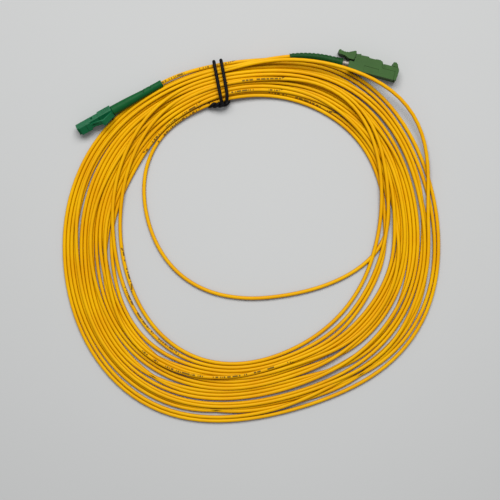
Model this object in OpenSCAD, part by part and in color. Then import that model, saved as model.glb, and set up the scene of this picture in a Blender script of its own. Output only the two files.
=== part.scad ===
// Coiled fibre optic patch cord: a small latching plug on one end, a shuttered plug with a lever on the other.
// X runs to the right and Y to the tied side of the coil, Z is up, and everything lies on Z = 0.

/* [Cord and coil] */
// Diameter of the cord's jacket
cord_d = 2; // [1.8:0.05:2.05]
// Least gap between neighbouring turns
turn_gap = 0.52; // [0.45:0.01:0.6]
// Mean radius of the coil, to the outside of its outer turns
coil_r = 99.4; // [98.5:0.1:100.5]
// Width of the bundle under the tie
tied_w = 17; // [16:0.1:18]
// Width of the bundle opposite the tie
spread_w = 30.5; // [30:0.1:33]
// Diameter of the covered tie wire
tie_d = 1.8; // [1.4:0.05:1.9]

/* [Small latching plug] */
// Side of the square front housing
housing_w = 4.5; // [4.3:0.05:4.8]
// Length of the front housing up to the rear clip
housing_l = 13.1; // [12.5:0.1:14]
// Side of the square rear clip
clip_w = 5.3; // [5.1:0.05:5.6]
// Length of the rear clip
clip_l = 7.6; // [7:0.1:8.5]
// Diameter of the small ferrule
small_ferrule_d = 1.25; // [1.2:0.01:1.3]
// Width of the latch's shoulders
shoulder_w = 4.3; // [3.8:0.1:4.4]
// Width of the latch's tail
tail_w = 2.4; // [1.8:0.1:3]
// Width of the trigger
trigger_w = 3; // [2.4:0.1:4]
// Length of the smooth boot
smooth_boot_l = 30.3; // [28:0.1:34]
// Diameter of the smooth boot where it meets the clip
smooth_boot_d = 5.2; // [4.8:0.05:5.3]
// Diameter of the smooth boot at its end
smooth_boot_end_d = 3.6; // [3.2:0.05:4]

/* [Shuttered plug] */
// Width of the body, across the lever
body_w = 7; // [6.8:0.1:7.6]
// Length of the body with its shutter closed
body_l = 26.6; // [26:0.1:28]
// Diameter of the large ferrule
large_ferrule_d = 2.5; // [2.4:0.01:2.6]
// Thickness of the shutter's side arms
arm_t = 0.85; // [0.6:0.05:0.95]
// Width of the lever's finger pad
pad_w = 6.2; // [5:0.1:6.8]
// Diameter of the lever's pin
lever_pin_d = 1.6; // [1.2:0.1:1.8]
// Diameter of the shutter's pin
shutter_pin_d = 1; // [0.8:0.05:1.2]
// Diameter of the metal neck
neck_d = 3.5; // [3.3:0.05:3.6]
// Visible length of the metal neck
neck_l = 3.2; // [2:0.1:4]
// Diameter of the ribbed boot where it meets the neck
ribbed_boot_d = 4.6; // [4.4:0.05:5]
// Diameter of the ribbed boot at its end
ribbed_boot_end_d = 3.1; // [3:0.05:3.4]
// Distance from rib to rib
rib_pitch = 2.15; // [2:0.05:2.3]

/* [Fits] */
// Clearance round a piece that slides or turns
run_fit = 0.05; // [0.03:0.01:0.08]
// Clearance round a piece that is only placed
seat_fit = 0.05; // [0.02:0.01:0.08]
// Clearance round the cord in a boot
cord_fit = 0.12; // [0.08:0.01:0.2]

/* [Hidden] */
$fn = 64;
eps = 0.01;

// Colours of the real pieces.
jacket_colour = "gold";
small_green = [0.10, 0.42, 0.27];
large_green = [0.24, 0.44, 0.20];
dark_green = [0.06, 0.28, 0.17];
metal = "silver";
ceramic = "ghostwhite";
wire_black = [0.05, 0.05, 0.06];

// ---------------------------------------------------------------- frame
// The origin lies on the resting surface, midway between the two plugs.
coil_centre = [7.875, -78.045];
small_plug_at = [-84.175, -19.795];
small_plug_turn = 209.2;
small_plug_roll = -39.3;
small_plug_z = clip_w / 2 * (sin(-small_plug_roll) + cos(small_plug_roll));
large_plug_at = [84.975, 8.455];
large_plug_turn = -14.5;

function turned(v, a) = [v[0] * cos(a) - v[1] * sin(a), v[0] * sin(a) + v[1] * cos(a), v[2]];
// A point given in a plug's own frame (x to the nose, y across, z to the latch or the lever).
function rolled(v, a) = [v[0], v[1] * cos(a) - v[2] * sin(a), v[1] * sin(a) + v[2] * cos(a)];
function in_small_plug(v) =
  turned(rolled(v, small_plug_roll), small_plug_turn) + [small_plug_at[0], small_plug_at[1], small_plug_z];
function in_large_plug(v) =
  turned(rolled(v, -90), large_plug_turn) + [large_plug_at[0], large_plug_at[1], body_w / 2];

module at_small_plug() {
  translate([small_plug_at[0], small_plug_at[1], small_plug_z])
    rotate([0, 0, small_plug_turn])
      rotate([small_plug_roll, 0, 0]) children();
}

module at_large_plug() {
  translate([large_plug_at[0], large_plug_at[1], body_w / 2])
    rotate([0, 0, large_plug_turn])
      rotate([-90, 0, 0]) children();
}

// ---------------------------------------------------------------- shared shapes
// A cylinder along x from x1 back to x0.
module rod(x0, x1, d) {
  translate([x0, 0, 0]) rotate([0, 90, 0]) cylinder(h = x1 - x0, d = d);
}

// A square bar along x with bevelled long edges.
module bar(x0, x1, w, bevel = 0) {
  h = w / 2;
  translate([x0, 0, 0]) rotate([90, 0, 90]) linear_extrude(x1 - x0)
    polygon([[-h + bevel, -h], [h - bevel, -h], [h, -h + bevel], [h, h - bevel],
             [h - bevel, h], [-h + bevel, h], [-h, h - bevel], [-h, -h + bevel]]);
}

// A side outline in (x, z), as wide as w across y.
module side_plate(w, outline) {
  translate([0, w / 2, 0]) rotate([90, 0, 0]) linear_extrude(w) polygon(outline);
}

// Points of an arc in a side outline, centred at c.
function arc(c, r, a0, a1, steps = 8) =
  [for (i = [0 : steps]) c + r * [cos(a0 + (a1 - a0) * i / steps), sin(a0 + (a1 - a0) * i / steps)]];

function unit(v) = v / norm(v);

// Direction of a path at point i.
function along(path, i) = unit(path[min(i + 1, len(path) - 1)] - path[max(i - 1, 0)]);
// Side vectors for a path's rings: level ones, or the first one carried along without twist.
function level_sides(path) = [for (i = [0 : len(path) - 1]) unit(cross([0, 0, 1], along(path, i)))];
function carried_sides(path) =
  [for (i = 0, s = level_sides(path)[0]; i < len(path);
        i = i + 1, s = i < len(path) ? unit(s - (s * along(path, i)) * along(path, i)) : s) s];

// One closed tube swept along points. The first corner of each ring points along its side vector.
module tube(path, r, sides, across) {
  last = len(path) - 1;
  rings = [for (i = [0 : last])
    for (k = [0 : sides - 1])
      path[i] + r * (cos(360 * k / sides) * across[i] + sin(360 * k / sides) * cross(along(path, i), across[i]))];
  walls = [for (i = [0 : last - 1]) for (k = [0 : sides - 1])
    let (a = i * sides + k, b = i * sides + (k + 1) % sides)
    each [[a, b, a + sides], [b, b + sides, a + sides]]];
  caps = [for (k = [1 : sides - 2]) each [[0, k + 1, k], [last * sides, last * sides + k, last * sides + k + 1]]];
  polyhedron(points = rings, faces = concat(walls, caps));
}

// ---------------------------------------------------------------- coil
// The turns go clockwise seen from above. The clock t counts turns from the tie. The lower layer spirals in for
// ten turns, the upper one spirals out for nine. Near the tie the layers bunch: every second turn of a layer
// rises on its neighbours. Sways move a stretch of cord inwards or outwards, and humps lift or drop it.
turns = 19;
lower_turns = 10;
rings_per_turn = 24;
tie_angle = 100.8;
cord_r = cord_d / 2;
row = cord_d + turn_gap;
floor_z = cord_r * cos(30);
first_lane = 0.3;
last_lane = 1.5;
climb = [9.96, 10.14];
tie_reach = 14;
// Each sway: where it starts, is full, is still full and ends, in turns, and how far it goes, in millimetres.
sways = [
  [9.25, 9.42, 9.625, 9.93, -38],
  [9.96, 10.04, 10.1, 10.3, -3.2],
  [10.52, 10.62, 10.76, 10.92, -4],
  [14.08, 14.29, 14.54, 14.68, -19.5],
  [16.08, 16.29, 16.54, 16.68, -21.3],
  [18.01, 18.14, 18.17, 18.3, 12]
];
// Each hump: the same four places, and its height in rows.
humps = [
  [14.03, 14.08, 14.68, 14.73, 1],
  [16.03, 16.08, 16.68, 16.73, 1],
  [18.03, 18.1, 18.16, 18.28, 2.3]
];
dips = [
  [10.56, 10.65, 10.73, 10.82, -1],
  [14.34, 14.43, 14.47, 14.56, -2],
  [16.34, 16.43, 16.47, 16.56, -2]
];

function total(list) = len(list) == 0 ? 0 : [for (v = list) 1] * list;
function ramp(a, b, t) = let (q = max(0, min(1, (t - a) / (b - a)))) q * q * (3 - 2 * q);
function window(w, t) = ramp(w[0], w[1], t) * (1 - ramp(w[2], w[3], t));
function swing(rows, t) = total([for (w = rows) w[4] * window(w, t)]);
// The outline isn't round: it bulges to the upper right and the lower left.
function bulge(a) = 3.6 * cos(2 * (a - 27)) + 0.9 * cos(3 * (a + 26)) + 2.1 * cos(4 * (a + 34));
function lane(t) = t < lower_turns
  ? first_lane + t
  : last_lane + (turns - t) * (lower_turns + first_lane - last_lane) / (turns - lower_turns);
function bundle_w(t) = tied_w + (spread_w - tied_w) * pow(pow(sin(180 * t), 2) + 0.002, 0.375);
function pitch(t) = (bundle_w(t) - cord_d) / (lower_turns + first_lane);
function row_rise(t) = sqrt(max(0, row * row - pitch(t) * pitch(t)));
function off_tie(t) = 360 * (t - round(t));
function odd(t) = floor(t + 0.5) % 2;

function coil_point(t) =
  let (
    a = tie_angle - 360 * t,
    calm = 1 - window(sways[0], t),
    up = ramp(climb[0], climb[1], t),
    lifted = max([for (h = humps) window(h, t)]),
    raised = odd(t) * (1 - up) + (1 - odd(t)) * up,
    r = coil_r + bulge(a) * calm - cord_r - pitch(t) * lane(t) + swing(sways, t),
    z = floor_z + tie_d * 1.2 * exp(-pow(off_tie(t) / tie_reach, 2)) + up * (row + row_rise(t))
      + (raised + (1 - raised) * lifted) * row_rise(t) + row * (swing(humps, t) + swing(dips, t))
  )
  [coil_centre[0] + r * cos(a), coil_centre[1] + r * sin(a), z];

function path_of_coil(steps) = [for (i = [0 : turns * steps]) coil_point(i / steps)];
function length_of(path) = total([for (i = [1 : len(path) - 1]) norm(path[i] - path[i - 1])]);

// Least gap of the tube to itself, on points a third of a ring apart.
function between(path, n) =
  [for (i = [0 : len(path) - 2]) for (j = [0 : n - 1]) path[i] + (path[i + 1] - path[i]) * j / n];
function least_gap(path, n) =
  let (q = between(path, n), lap = rings_per_turn * n)
  min([for (i = [0 : len(q) - 1]) for (k = [1 : turns]) for (j = [-3 : 3])
    let (m = i + k * lap + j) if (m < len(q)) norm(q[m] - q[i])]) - cord_d;

module cord_coil() {
  path = path_of_coil(rings_per_turn);
  echo(coil_length = length_of(path), least_gap = least_gap(path, 3));
  color(jacket_colour) tube(path, cord_r, 6, level_sides(path));
}

// ---------------------------------------------------------------- free stretches of the cord
// Each runs straight out of its plug, along points chosen by hand, and straight into an end of the coil.
function side_of_coil(t) = unit(coil_point(t + 0.001) - coil_point(t));
small_lead_points = [[-33.3, 8.33, 3.8], [-27.3, 10.83, 3.6], [-19.8, 12.63, 3.2]];
large_lead_points = [[21.7, 18.03, 4], [15.2, 17.73, 5.1]];

function stretch(points) =
  [for (i = [0 : len(points) - 2])
     let (
       p0 = points[max(i - 1, 0)], p1 = points[i], p2 = points[i + 1], p3 = points[min(i + 2, len(points) - 1)],
       n = max(1, round(norm(p2 - p1) / (2.4 * cord_d)))
     )
     for (j = [0 : n - 1]) let (q = j / n)
       0.5 * (2 * p1 + (p2 - p0) * q + (2 * p0 - 5 * p1 + 4 * p2 - p3) * q * q
       + (3 * p1 - p0 - 3 * p2 + p3) * q * q * q)];

function path_of_small_lead() =
  let (
    x1 = -(housing_l + clip_l + smooth_boot_l),
    a = in_small_plug([x1, 0, 0]),
    out = unit(a - in_small_plug([x1 + 1, 0, 0])),
    b = coil_point(0),
    into = side_of_coil(0),
    free = concat([a + out * cord_d], small_lead_points, [b - into * cord_d])
  )
  concat([in_small_plug([small_jacket_x, 0, 0])], [a], stretch(free), [free[len(free) - 1], b]);

function path_of_large_lead() =
  let (
    a = in_large_plug(boot_point(boot_bend)),
    out = unit(a - in_large_plug(boot_point(boot_bend - 1))),
    b = coil_point(turns),
    into = side_of_coil(turns - 0.001),
    free = concat([a + out * cord_d], large_lead_points, [b + into * cord_d])
  )
  concat(
    [in_large_plug([large_jacket_x, 0, 0])],
    [for (i = [0 : 5]) in_large_plug(boot_point(boot_bend * i / 5))],
    stretch(free), [free[len(free) - 1], b]);

module lead(path) { color(jacket_colour) tube(path, cord_r, 8, level_sides(path)); }
module latch_plug_lead() { lead(path_of_small_lead()); }
module shutter_plug_lead() { lead(path_of_large_lead()); }

// ---------------------------------------------------------------- tie
// Two turns of covered wire round the bundle. Both ends leave on the inner side, twisted once round each other.
tie_bend = 2;
tie_spread = 1.9;
tie_gap = 0.15;
tail_l = 8;
tie_outer = coil_r + bulge(tie_angle) - pitch(0) * first_lane + tie_gap + 0.35 + tie_d / 2;
tie_inner = norm([for (i = [0 : 1]) coil_point(lower_turns)[i] - coil_centre[i]]) - cord_r - 2 * tie_gap - tie_d / 2;
tie_low = tie_d / 2 + 0.02;
tie_high = coil_point(turns - 1)[2] + cord_r + tie_d / 2 + tie_gap;

// One turn in (along the cord, from the coil's centre outwards, up): over the bundle and back under it.
function tie_pass(place, slant) =
  let (b = tie_bend, mid = (tie_outer + tie_inner) / 2, half = (tie_outer - tie_inner) / 2)
  [for (c = [[tie_inner + b, tie_high - b, 180, 90], [tie_outer - b, tie_high - b, 90, 0],
             [tie_outer - b, tie_low + b, 0, -90], [tie_inner + b, tie_low + b, -90, -180]])
    for (i = [0 : 3]) let (a = c[2] + (c[3] - c[2]) * i / 3, y = c[0] + b * cos(a))
      [place + slant * (y - mid) / half, y, c[1] + b * sin(a)]];

// Strand of the twisted tail, starting at angle a.
function tie_tail(a) =
  let (twist_r = tie_d / 2 + 0.1, mid = [-tie_spread - 1.2, tie_inner - 2.3, (tie_low + tie_high) / 2])
  [for (i = [0 : 12]) mid + [-tail_l * i / 12, twist_r * cos(a + 30 * i), twist_r * sin(a + 30 * i) - 1.2 * i / 12]];

function tie_points() =
  let (up = tie_tail(90), down = tie_tail(-90), right = tie_pass(tie_spread, 0.5), last = right[len(right) - 1])
  concat(
    [for (i = [len(up) - 1 : -1 : 0]) up[i]], tie_pass(-tie_spread, -0.4), right,
    [[last[0] - 0.3, tie_inner - 1.5, last[2] + 0.4], [0, tie_inner - 2.3, down[0][2]]], down);

// From the tie's directions to the part's frame.
function at_tie(v) =
  [coil_centre[0] + v[1] * cos(tie_angle) + v[0] * sin(tie_angle),
   coil_centre[1] + v[1] * sin(tie_angle) - v[0] * cos(tie_angle), v[2]];

module wire_tie() {
  path = [for (p = tie_points()) at_tie(p)];
  color(wire_black) tube(path, tie_d / 2, 8, carried_sides(path));
}

// ---------------------------------------------------------------- small latching plug
// Its frame: x to the nose with 0 at the housing's front, z to the latch.
front_bore_d = 3.1;
front_bore_l = 5.2;
web_l = 0.8;
web_bore_d = 2;
chamber_d = 3.2;
spigot_w = 3.9;
spigot_l = 3.4;
post_front = housing_l + 0.3;
collar_l = 0.8;
clip_back = housing_l + clip_l;
smooth_boot_x = -(clip_back + seat_fit);
small_post_d = 2.4;
small_post_end = clip_back + 5.9;
small_sleeve_d = 3.1;
small_sleeve_end = small_post_end + 2.6;
small_jacket_x = -(small_post_end + 0.4);
fibre_d = 0.9;
half_w = housing_w / 2;
latch_pivot = [-4.6, 2.95];
latch_t = 0.9;
trigger_pivot = [-(clip_back - 0.65), clip_w / 2 + 0.55];
window_at = [-9.2, 1, 2];

module latch_plug_housing() {
  root_top = 3.5;
  color(small_green) at_small_plug() difference() {
    union() {
      bar(-housing_l, 0, housing_w, 0.35);
      bar(-housing_l - spigot_l, -housing_l, spigot_w, 0.3);
      // Root of the latch arm, which ends in a hollow round the arm's knuckle.
      side_plate(shoulder_w, [[-0.9, half_w - eps], [-1.2, root_top], [latch_pivot[0], root_top],
                              [latch_pivot[0], half_w - eps]]);
    }
    translate([latch_pivot[0], 0, latch_pivot[1]]) rotate([90, 0, 0])
      cylinder(h = housing_w + 1, r = latch_t / 2 + run_fit, center = true);
    rod(-front_bore_l, 1, front_bore_d);
    translate([-0.4, 0, 0]) rotate([0, 90, 0]) cylinder(h = 0.41, d1 = front_bore_d, d2 = front_bore_d + 0.8);
    rod(-front_bore_l - web_l - eps, 0, web_bore_d);
    rod(-housing_l - spigot_l - 1, -front_bore_l - web_l, chamber_d);
    translate([window_at[0], 0, 0]) cube([window_at[1], housing_w + 1, window_at[2]], center = true);
  }
}

module latch_plug_latch() {
  px = latch_pivot[0];
  pz = latch_pivot[1];
  top = 3.5;
  back = -housing_l - 0.2;
  color(small_green) at_small_plug() difference() {
    union() {
      translate([px, 0, pz]) rotate([90, 0, 0]) cylinder(h = shoulder_w, r = latch_t / 2, center = true);
      // Shoulders that catch behind the socket's edges.
      side_plate(shoulder_w, [[px - 0.3, pz - 0.3], [px - 0.3, pz + 0.3], [px - 0.7, top + 0.1], [-7.5, top + 0.1],
                              [-7.5, top - latch_t]]);
      // Tail, which rises to the trigger.
      side_plate(tail_w, [[-7, top - latch_t], [-7, top], [-8.9, top], [back, 5.55],
                          [back - 1, 5.6], [back - 1.2, 5.25], [back - 1, 4.7], [back - 0.3, 4.7], [-9.2, 2.87]]);
    }
    // A slot down the tail.
    translate([-9.8, 0, 3.4]) cube([3.4, 0.7, 6], center = true);
  }
}

module latch_plug_clip() {
  root = trigger_pivot;
  color(small_green) at_small_plug() difference() {
    union() {
      bar(-clip_back, -housing_l - seat_fit, clip_w, 0.4);
      side_plate(trigger_w, [[-clip_back, clip_w / 2 - eps], [-clip_back, clip_w / 2 + 0.8],
                             [root[0] - 0.3, clip_w / 2 + 1.0], [root[0], clip_w / 2 + 1.0], [root[0], clip_w / 2 - eps]]);
    }
    translate([root[0], 0, root[1]]) rotate([90, 0, 0])
      cylinder(h = clip_w + 1, r = latch_t / 2 + run_fit, center = true);
    bar(-housing_l - spigot_l - seat_fit, -housing_l, spigot_w + 2 * seat_fit);
    rod(-clip_back - 1, -housing_l, chamber_d + 2 * seat_fit);
    // Side grips.
    for (s = [-1, 1]) for (i = [0 : 3])
      translate([-clip_back + 1.6 + 1.1 * i, s * clip_w / 2, 0]) cube([0.45, 0.3, clip_w - 1.4], center = true);
  }
}

module latch_plug_trigger() {
  px = trigger_pivot[0];
  pz = trigger_pivot[1];
  color(small_green) at_small_plug() union() {
    translate([px, 0, pz]) rotate([90, 0, 0]) cylinder(h = trigger_w, r = latch_t / 2, center = true);
    side_plate(trigger_w, [[px + 0.2, pz - 0.4], [px - 0.1, pz + 0.44], [px + 4.85, 6.7], [px + 5.75, 6.95],
                           [px + 6.55, 6.8], [px + 6.55, 6.1], [px + 5.45, 5.9]]);
  }
}

module latch_plug_ferrule() {
  color(ceramic) at_small_plug() difference() {
    union() {
      rod(-front_bore_l + 0.1, -0.5, small_ferrule_d);
      rod(-8, -front_bore_l + 0.1 + eps, small_ferrule_d * 0.72);
      translate([-0.5, 0, 0]) rotate([0, 90, 0]) cylinder(h = 0.3, d1 = small_ferrule_d, d2 = small_ferrule_d - 0.35);
    }
    // The polished end leans eight degrees.
    translate([-0.28, 0, 0]) rotate([0, -8, 0]) translate([0.5, 0, 0]) cube([1, 4, 4], center = true);
  }
}

module latch_plug_ferrule_holder() {
  front = -(front_bore_l + web_l + seat_fit);
  color(metal) at_small_plug() difference() {
    union() {
      translate([front - 1.6, 0, 0]) rotate([0, 90, 0]) cylinder(h = 1.6, d = 2.9, $fn = 6);
      rod(-12.5, front - 1.5, 1.6);
    }
    rod(-8, 0, small_ferrule_d * 0.72);
    rod(-13, -8 + eps, fibre_d + 0.2);
  }
}

module latch_plug_spring() {
  color(metal) at_small_plug() difference() {
    rod(-post_front + seat_fit, -(front_bore_l + web_l + 1.6 + 2 * seat_fit), 2.7);
    rod(-post_front - 1, 0, 1.8);
  }
}

module latch_plug_backpost() {
  color(metal) at_small_plug() difference() {
    union() {
      rod(-clip_back, -post_front, chamber_d - 2 * seat_fit);
      rod(-small_post_end, -clip_back + eps, small_post_d);
      for (i = [0 : 4]) rod(-clip_back - 1.1 - i, -clip_back - 0.7 - i, small_post_d + 0.1);
    }
    rod(-clip_back + 1, 0, 1.8);
    rod(-small_post_end - 1, 0, 1.3);
  }
}

module latch_plug_crimp_sleeve() {
  color(metal) at_small_plug() difference() {
    union() {
      rod(-small_post_end, -clip_back - 0.4, small_sleeve_d);
      rod(-small_sleeve_end, -small_post_end + eps, small_sleeve_d - 0.4);
    }
    rod(-small_post_end - eps, 0, small_post_d + 0.1 + 2 * seat_fit);
    rod(-small_sleeve_end - 1, 0, cord_d + 2 * seat_fit);
  }
}

module latch_plug_boot() {
  l = smooth_boot_l - seat_fit;
  r0 = smooth_boot_d / 2;
  r1 = smooth_boot_end_d / 2;
  bore = cord_r + cord_fit;
  sleeve_r = small_sleeve_d / 2 + seat_fit;
  deep = small_sleeve_end + 0.1 - clip_back - seat_fit;
  slot_w = 0.8;
  color(small_green) at_small_plug() translate([smooth_boot_x, 0, 0]) difference() {
    rotate([0, -90, 0]) rotate_extrude() polygon([
      [sleeve_r, 0], [r0 - 0.3, 0], [r0, 0.35], [r0 - 0.15, 9], [r1 + 0.25, l - 13], [r1 + 0.05, l - 1.6],
      [r1 + 0.1, l - 1.5], [r1 + 0.1, l - 0.3], [r1 - 0.15, l], [bore, l], [bore, deep], [sleeve_r, deep]]);
    // Slots that let the thin end bend, cut from two sides in turn.
    for (i = [0 : 3]) let (side = i % 2 == 0 ? -1 : 1)
      translate([-l + 11 - 2.2 * i, side * (bore + 2.1), 0]) cube([slot_w, 4, 2 * r0], center = true);
  }
}

module latch_plug_fibre() {
  color("white") at_small_plug() rod(small_jacket_x, -12, fibre_d);
}

// ---------------------------------------------------------------- shuttered plug
// Its frame: x to the nose with 0 at the closed shutter's face, z to the lever.
bottom_z = -2.75;
nose_top = 4.2;
nose_front = -1.05;
shelf_z = 1.5;
shutter_pivot = [-8.1, 3.02];
arm_r = 1.17;
slot_z = shutter_pivot[1] - arm_r - 0.1;
seam_x = -1.8;
lever_pivot = [-(body_l - 4.4), 4.2];
lug_r = 1.55;
channel_w = 4.6;
channel_z = 3.3;
cavity_d = 3.9;
cavity_end = 8.2;
inner_web = 1;
large_chamber_d = 4.2;
large_post_front = body_l - 4.6;
large_post_d = 2.86;
large_post_end = body_l + 6.4;
large_sleeve_end = large_post_end + 2.6;
large_jacket_x = -(large_post_end + 0.2);
neck_end = body_l + neck_l;
boot_straight = 6.8;
boot_bend = 20;
boot_arc_l = 21.5;
boot_arc_r = boot_arc_l / (boot_bend * PI / 180);

// Centre line of the ribbed boot's bent part, a degrees along its arc.
function boot_point(a) =
  [-(neck_end + boot_straight + boot_arc_r * sin(a)), 0, -boot_arc_r * (1 - cos(a))];

module shutter_plug_body() {
  h = body_w / 2;
  inner_h = h - arm_t - 0.1;
  px = lever_pivot[0];
  top = concat(
    arc(lever_pivot, lug_r, 200, 75),
    [[px + 4.9, 5.95], [px + 5.5, 5.4], [-9.9, 5.4], [-9.2, 4.9], [-8.9, nose_top], [nose_front, nose_top]]);
  color(large_green) at_large_plug() difference() {
    side_plate(body_w, concat(
      [[nose_front, bottom_z + 0.5], [nose_front - 0.5, bottom_z], [-body_l + 0.4, bottom_z],
       [-body_l, bottom_z + 0.4], [-body_l, shelf_z], [px - 1.9, shelf_z], [px - 1.9, 3.2]], top));
    // Pockets for the shutter's side arms and cheeks.
    for (s = [-1, 1]) translate([0, s * (inner_h + 1), 0]) union() {
      side_plate(2, concat(
        [[1, slot_z]], arc(shutter_pivot, arm_r + 0.1, 270, 180, 4), [[shutter_pivot[0] - arm_r - 0.1, 8], [1, 8]]));
      side_plate(2, [[seam_x - 0.08, bottom_z - 1], [seam_x - 0.08, nose_top + 0.2], [1, nose_top + 0.2],
                     [1, bottom_z - 1]]);
    }
    // Channel for the lever's tongue.
    side_plate(channel_w, [[px - 8, 7.5], [px - 8, shelf_z - eps], [px - 1.9, shelf_z - eps], [px - 1.9, 2.3],
                           [px + 2.2, 2.3], [px + 3.2, channel_z], [-9.4, channel_z], [-9.4, 7.5]]);
    // Slot for the leaf spring that closes the shutter.
    translate([-6.1, 0, 3.65]) cube([5.4, 2.2, 0.3], center = true);
    translate([-4, 0, 4.2]) cube([1.2, 2.2, 1.2], center = true);
    // Bores along the axis: cavity round the ferrule, web, spring chamber.
    rod(-cavity_end, 1, cavity_d);
    rod(-cavity_end - inner_web - eps, 0, 2.9);
    rod(-body_l - 1, -cavity_end - inner_web, large_chamber_d);
    translate([lever_pivot[0], 0, lever_pivot[1]]) rotate([90, 0, 0])
      cylinder(h = body_w + 1, d = lever_pin_d, center = true);
    translate([shutter_pivot[0], 0, shutter_pivot[1]]) rotate([90, 0, 0])
      cylinder(h = body_w + 1, d = shutter_pin_d, center = true);
    // Shallow side recess that lightens the moulding.
    for (s = [-1, 1]) translate([-14.5, s * h, -0.5]) cube([8, 0.4, 2.6], center = true);
  }
}

module shutter_plug_shutter() {
  h = body_w / 2;
  arm_outline = concat(
    [[-0.6, shutter_pivot[1] - arm_r]], arc(shutter_pivot, arm_r, 270, 90), [[-0.6, shutter_pivot[1] + arm_r]]);
  plate = concat(
    [[-0.9, bottom_z], [-0.35, bottom_z + 0.1]], arc([-2.8, 2.2], 2.8, -8, 45),
    [[-1.4, 5.8], [-2.4, 6.6], [-3.6, 6.5], [-3.9, 6.2], [-3.9, nose_top + 0.12], [-0.9, nose_top + 0.12]]);
  color(large_green) at_large_plug() difference() {
    union() {
      side_plate(body_w, plate);
      for (s = [-1, 1]) translate([0, s * (h - arm_t / 2), 0]) union() {
        side_plate(arm_t, arm_outline);
        side_plate(arm_t, [[seam_x, bottom_z + 0.3], [seam_x, shutter_pivot[1]], [-0.5, shutter_pivot[1]],
                           [-0.5, bottom_z + 0.1], [seam_x + 0.3, bottom_z]]);
      }
    }
    translate([shutter_pivot[0], 0, shutter_pivot[1]]) rotate([90, 0, 0])
      cylinder(h = body_w + 1, d = shutter_pin_d + 2 * run_fit, center = true);
    // The hook is split in two horns.
    translate([-2.6, 0, 6.9]) cube([5, 2.4, 2.6], center = true);
  }
}

module shutter_plug_shutter_pin() {
  color(metal) at_large_plug() translate([shutter_pivot[0], 0, shutter_pivot[1]]) rotate([90, 0, 0])
    cylinder(h = body_w - 0.1, d = shutter_pin_d, center = true);
}

module shutter_plug_shutter_spring() {
  color(metal) at_large_plug() side_plate(2, [
    [-8.7, 3.58], [-3.9, 3.58], [-3.75, 4.05], [-3.55, 4.22], [-3.75, 4.28], [-3.98, 4.12], [-4.08, 3.74], [-8.7, 3.74]]);
}

module shutter_plug_lever() {
  px = lever_pivot[0];
  pz = lever_pivot[1];
  hub_w = channel_w - 0.2;
  tongue_w = 4;
  thumb = [px - 7.7, 12.2];
  thumb_r = 6.6;
  color(large_green) at_large_plug() difference() {
    union() {
      // Finger pad, hollowed for a thumb.
      side_plate(pad_w, concat(
        [[px - 2.3, 2.55], [px - 4.3, 2.55]], arc([px - 8.4, -0.5], 4.2, 50, 84, 6), [[px - 10.4, 3.8], [px - 11.3, 4.7],
        [px - 11.2, 5.7], [px - 10.7, 6]], arc(thumb, thumb_r, 246, 300, 6),
        [[px - 2.7, 7.3], [px - 2.1, 7.3], [px - 1.75, 6.3], [px - 2.2, 3.2]]));
      // Hub between the lugs, and the block over it.
      translate([px, 0, pz]) rotate([90, 0, 0]) cylinder(h = hub_w, r = 1.45, center = true);
      side_plate(hub_w, [[px - 2.7, 3.4], [px - 2.7, 6.5], [px - 1.1, 6.1], [px + 0.8, 6.6], [px + 1, 6.2],
                         [px + 1, 3.6], [px - 0.8, 2.9]]);
      // Latching tongue.
      side_plate(tongue_w, [[px + 0.2, 3.7], [px + 0.2, 5.3], [px + 5, 5.3], [px + 5.6, 4.9], [-13.8, 4.9], [-13.1, 5.95],
                            [-10.6, 6.05], [-9.6, 5.1], [-9.6, 3.9], [-10, 3.55]]);
    }
    translate([px, 0, pz]) rotate([90, 0, 0])
      cylinder(h = body_w + 1, d = lever_pin_d + 2 * run_fit, center = true);
    // Grip lines across the pad.
    for (a = [253 : 11 : 286])
      translate([thumb[0] + thumb_r * cos(a), 0, thumb[1] + thumb_r * sin(a)]) rotate([90, 0, 0])
      cylinder(h = body_w, r = 0.22, center = true, $fn = 24);
  }
}

module shutter_plug_lever_pin() {
  color(metal) at_large_plug() translate([lever_pivot[0], 0, lever_pivot[1]]) rotate([90, 0, 0])
    cylinder(h = body_w - 0.1, d = lever_pin_d, center = true);
}

module shutter_plug_ferrule() {
  tip = -2.4;
  color(ceramic) at_large_plug() difference() {
    union() {
      rod(-cavity_end + 0.1, tip - 0.4, large_ferrule_d);
      rod(-11, -cavity_end + 0.1 + eps, large_ferrule_d * 0.86);
      translate([tip - 0.4, 0, 0]) rotate([0, 90, 0])
        cylinder(h = 0.4, d1 = large_ferrule_d, d2 = large_ferrule_d - 0.6);
    }
    translate([tip - 0.02, 0, 0]) rotate([0, -8, 0]) translate([0.5, 0, 0]) cube([1, 5, 5], center = true);
  }
}

module shutter_plug_ferrule_holder() {
  front = -(cavity_end + inner_web + seat_fit);
  color(metal) at_large_plug() difference() {
    union() {
      rod(front - 2.2, front, 3.9);
      rod(-19, front - 2.1, 2);
    }
    rod(-11, 0, large_ferrule_d * 0.86);
    rod(-20, -11 + eps, fibre_d + 0.2);
    for (s = [-1, 1]) translate([front - 0.5, s * 1.9, 0]) cube([1.2, 0.6, 0.9], center = true);
  }
}

module shutter_plug_spring() {
  color(metal) at_large_plug() difference() {
    rod(-large_post_front + seat_fit, -(cavity_end + inner_web + 2.2 + 2 * seat_fit), 3.8);
    rod(-large_post_front - 1, 0, 2.5);
  }
}

module shutter_plug_backpost() {
  color(metal) at_large_plug() difference() {
    union() {
      rod(-body_l + seat_fit, -large_post_front, large_chamber_d - 2 * seat_fit);
      rod(-large_post_end, -body_l + 0.5, large_post_d);
    }
    rod(-body_l + 1, 0, 2.5);
    rod(-large_post_end - 1, 0, 1.3);
  }
}

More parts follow.
